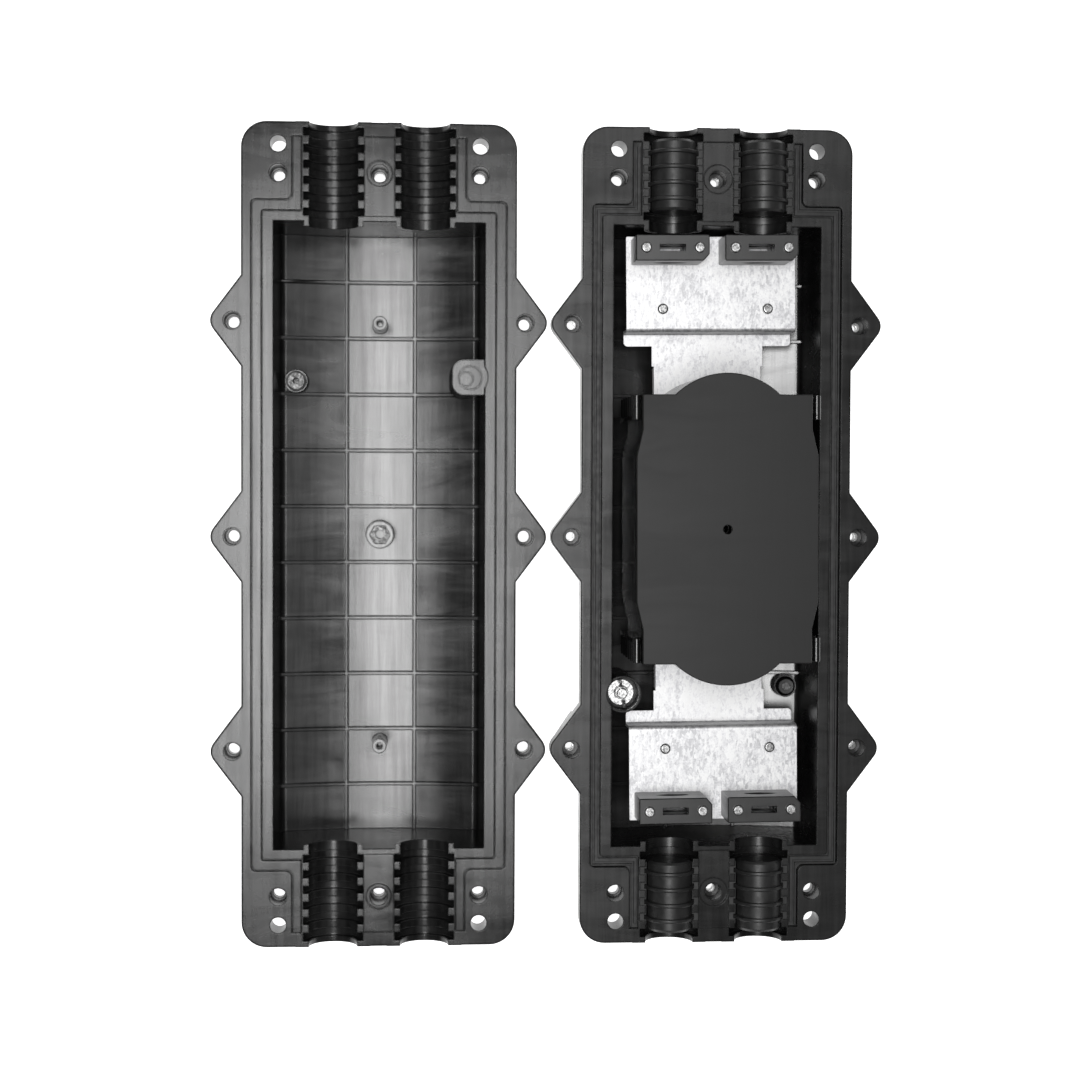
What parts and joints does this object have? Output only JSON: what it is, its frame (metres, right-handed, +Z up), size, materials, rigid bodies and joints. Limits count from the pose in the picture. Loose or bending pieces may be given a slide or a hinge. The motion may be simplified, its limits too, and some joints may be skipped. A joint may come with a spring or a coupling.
{
  "type": "inline splice closure",
  "caption": "Opened inline splice closure: two ribbed box halves side by side, one with a tray stack on a bracket, cable clamps, port plugs and an earthing stud.",
  "frame": {"origin": "bottom centre of both halves together: on the middle line between them, half way along, on the table", "axes": "+X from the lid to the base, +Y along the closure, +Z up out of the open halves"},
  "size_m": [0.3766, 0.46, 0.0985],
  "materials": {
    "base_plastic": "moulded, slight sheen",
    "lid_plastic": "moulded, slight sheen",
    "seal_rubber": "matt",
    "liner_rubber": "matt",
    "plug_rubber": "satin",
    "galvanised_sheet": "galvanised, satin",
    "zinc_screw": "zinc plated",
    "zinc_fitting": "zinc plated",
    "clamp_plastic": "satin",
    "tray_plastic": "glossy",
    "cover_plastic": "satin, tinted",
    "holder_plastic": "matt",
    "valve_plastic": "satin",
    "pin_steel": "bright",
    "brass_insert": "satin"
  },
  "bodies": {
    "base": {"base_shell": "base_plastic", "gasket_left": "seal_rubber", "gasket_right": "seal_rubber", "port_liner_left_top": "liner_rubber", "port_liner_right_top": "liner_rubber", "port_liner_left_bottom": "liner_rubber", "port_liner_right_bottom": "liner_rubber", "port_plug_left_top": "plug_rubber", "port_plug_right_top": "plug_rubber", "port_plug_left_bottom": "plug_rubber", "port_plug_right_bottom": "plug_rubber", "tray_bracket": "galvanised_sheet", "bracket_screw": "zinc_screw", "strength_member_screws": "zinc_screw", "clamp_bar_left_top": "clamp_plastic", "clamp_bar_right_top": "clamp_plastic", "clamp_bar_left_bottom": "clamp_plastic", "clamp_bar_right_bottom": "clamp_plastic", "tray_1": "tray_plastic", "splice_holder_1": "holder_plastic", "earth_stud": "zinc_fitting", "earth_seal_washer": "seal_rubber", "earth_washer": "zinc_fitting", "base_valve_body": "valve_plastic", "base_valve_core": "brass_insert", "base_centre_insert": "brass_insert", "captive_nuts": "zinc_fitting"},
    "lid": {"lid_shell": "lid_plastic", "lid_centre_insert": "brass_insert", "lid_valve_stem": "zinc_fitting", "lid_valve_seal": "seal_rubber"},
    "splice_tray_2": {"tray_2": "tray_plastic", "splice_holder_2": "holder_plastic", "tray_pins_2": "pin_steel"},
    "splice_tray_3": {"tray_3": "tray_plastic", "splice_holder_3": "holder_plastic", "tray_pins_3": "pin_steel"},
    "splice_tray_4": {"tray_4": "tray_plastic", "splice_holder_4": "holder_plastic", "tray_pins_4": "pin_steel"},
    "splice_tray_5": {"tray_5": "tray_plastic", "splice_holder_5": "holder_plastic", "tray_pins_5": "pin_steel"},
    "splice_tray_6": {"tray_6": "tray_plastic", "splice_holder_6": "holder_plastic", "tray_pins_6": "pin_steel"},
    "cover": {"tray_cover": "cover_plastic"},
    "nut": {"wing_nut": "zinc_fitting"},
    "jaw_left_top": {"clamp_jaw_left_top": "clamp_plastic", "clamp_screws_left_top": "zinc_screw"},
    "jaw_right_top": {"clamp_jaw_right_top": "clamp_plastic", "clamp_screws_right_top": "zinc_screw"},
    "jaw_left_bottom": {"clamp_jaw_left_bottom": "clamp_plastic", "clamp_screws_left_bottom": "zinc_screw"},
    "jaw_right_bottom": {"clamp_jaw_right_bottom": "clamp_plastic", "clamp_screws_right_bottom": "zinc_screw"}
  },
  "joints": [
    {"name": "lid_fold", "type": "hinge", "parent": "base", "child": "lid", "pos_m": [0, 0, 0.06], "axis": [0, 1, 0], "range_deg": [0, 180]},
    {"name": "tray_2_hinge", "type": "hinge", "parent": "base", "child": "splice_tray_2", "pos_m": [0.04627, 0.00524, 0.0414], "axis": [-0.0052, 1, 0], "range_deg": [-10, 0]},
    {"name": "tray_3_hinge", "type": "hinge", "parent": "splice_tray_2", "child": "splice_tray_3", "pos_m": [0.04627, 0.00524, 0.0532], "axis": [-0.0052, 1, 0], "range_deg": [-12, 0]},
    {"name": "tray_4_hinge", "type": "hinge", "parent": "splice_tray_3", "child": "splice_tray_4", "pos_m": [0.04627, 0.00524, 0.065], "axis": [-0.0052, 1, 0], "range_deg": [-16, 0]},
    {"name": "tray_5_hinge", "type": "hinge", "parent": "splice_tray_4", "child": "splice_tray_5", "pos_m": [0.04627, 0.00524, 0.0768], "axis": [-0.0052, 1, 0], "range_deg": [-22, 0]},
    {"name": "tray_6_hinge", "type": "hinge", "parent": "splice_tray_5", "child": "splice_tray_6", "pos_m": [0.04627, 0.00524, 0.0886], "axis": [-0.0052, 1, 0], "range_deg": [-85, 0]},
    {"name": "cover_lift", "type": "slide", "parent": "splice_tray_6", "child": "cover", "axis": [0, 0, -1], "range_m": [-0.008, 0]},
    {"name": "wing_nut_turn", "type": "hinge", "parent": "base", "child": "nut", "pos_m": [0.04267, -0.0888, 0.049], "axis": [0, 0, 1], "continuous": true},
    {"name": "clamp_left_top_lift", "type": "slide", "parent": "base", "child": "jaw_left_top", "axis": [0, 0, -1], "range_m": [-0.008, 0]},
    {"name": "clamp_right_top_lift", "type": "slide", "parent": "base", "child": "jaw_right_top", "axis": [0, 0, -1], "range_m": [-0.008, 0]},
    {"name": "clamp_left_bottom_lift", "type": "slide", "parent": "base", "child": "jaw_left_bottom", "axis": [0, 0, -1], "range_m": [-0.008, 0]},
    {"name": "clamp_right_bottom_lift", "type": "slide", "parent": "base", "child": "jaw_right_bottom", "axis": [0, 0, -1], "range_m": [-0.008, 0]}
  ]
}
